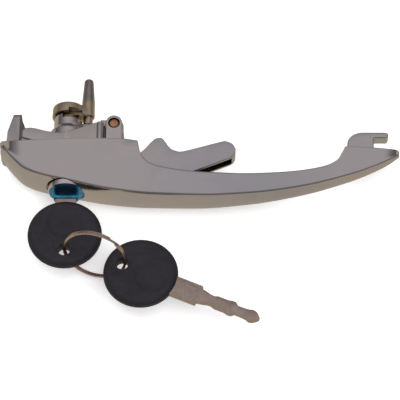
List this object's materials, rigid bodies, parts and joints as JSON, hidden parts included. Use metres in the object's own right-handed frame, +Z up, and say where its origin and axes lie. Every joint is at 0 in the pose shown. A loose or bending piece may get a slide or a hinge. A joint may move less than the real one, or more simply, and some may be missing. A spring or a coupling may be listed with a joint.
{
  "type": "car door handle",
  "caption": "Chromed exterior car door pull with an arched grip, a squeeze trigger, a key lock that turns a lever, and two round-headed keys on a split ring.",
  "frame": {"origin": "on the flat rim of the lock end's seat, at the handle's mid-height and 1.5 mm in from its tip: Y = 0 is the door skin", "axes": "+X along the handle towards its tail, +Y into the door, +Z up on the car"},
  "size_m": [0.183, 0.127, 0.0325],
  "materials": {
    "chrome_casting": "bright chrome plate on a die casting",
    "chrome_trigger": "bright chrome plate",
    "cap_chrome": "bright chrome plate",
    "copper_pin": "copper flash, satin",
    "spring_steel": "yellow-passivated spring wire",
    "lock_brass": "turned brass",
    "steel_pin": "bright steel",
    "yellow_zinc": "yellow zinc passivate with olive and gold tints",
    "key_nickel": "satin nickel plate",
    "ring_nickel": "bright nickel plate",
    "blue_film": "clear blue protective film",
    "key_plastic": "fine-textured black moulding"
  },
  "bodies": {
    "handle": {"handle_body": "chrome_casting", "trigger_pivot_pin": "copper_pin", "trigger_return_spring": "spring_steel", "lock_retaining_pin": "steel_pin", "cam_return_spring": "spring_steel"},
    "trigger": {"trigger_lever": "chrome_trigger"},
    "lock": {"lock_plug": "lock_brass", "lock_face_cap": "cap_chrome", "cap_film": "blue_film", "cam_lever": "yellow_zinc", "cam_circlip": "steel_pin", "wafer_1": "lock_brass", "wafer_2": "lock_brass", "wafer_3": "lock_brass", "wafer_4": "lock_brass", "wafer_5": "lock_brass", "wafer_6": "lock_brass", "wafer_7": "lock_brass", "wafer_8": "lock_brass"},
    "key_1": {"key_1_blade": "key_nickel", "key_1_head": "key_plastic"},
    "ring": {"key_ring": "ring_nickel"},
    "key_2": {"key_2_blade": "key_nickel", "key_2_head": "key_plastic"}
  },
  "joints": [
    {"name": "trigger_squeeze", "type": "hinge", "parent": "handle", "child": "trigger", "pos_m": [0.0504, 0.0125, 0], "axis": [0, 0, -1], "range_deg": [0, 12], "stiffness_Nm_per_rad": 0.4, "springref_deg": -28.65, "deforming": ["trigger_return_spring"]},
    {"name": "lock_turn", "type": "hinge", "parent": "handle", "child": "lock", "pos_m": [0.029, 0, 0], "axis": [0, 1, 0], "range_deg": [-60, 60], "stiffness_Nm_per_rad": 0.06, "deforming": ["cam_return_spring"]},
    {"name": "key_1_pull", "type": "slide", "parent": "lock", "child": "key_1", "axis": [0, -1, 0], "range_m": [0, 0.036]},
    {"name": "ring_swing", "type": "hinge", "parent": "key_1", "child": "ring", "pos_m": [0.029, -0.0517, 0], "axis": [0, 0, 1], "range_deg": [-110, 5]},
    {"name": "key_2_round_ring", "type": "hinge", "parent": "ring", "child": "key_2", "pos_m": [0.0429, -0.05474, 0.00352], "axis": [0.2587, 0.9433, -0.2079], "range_deg": [-60, 55]}
  ]
}
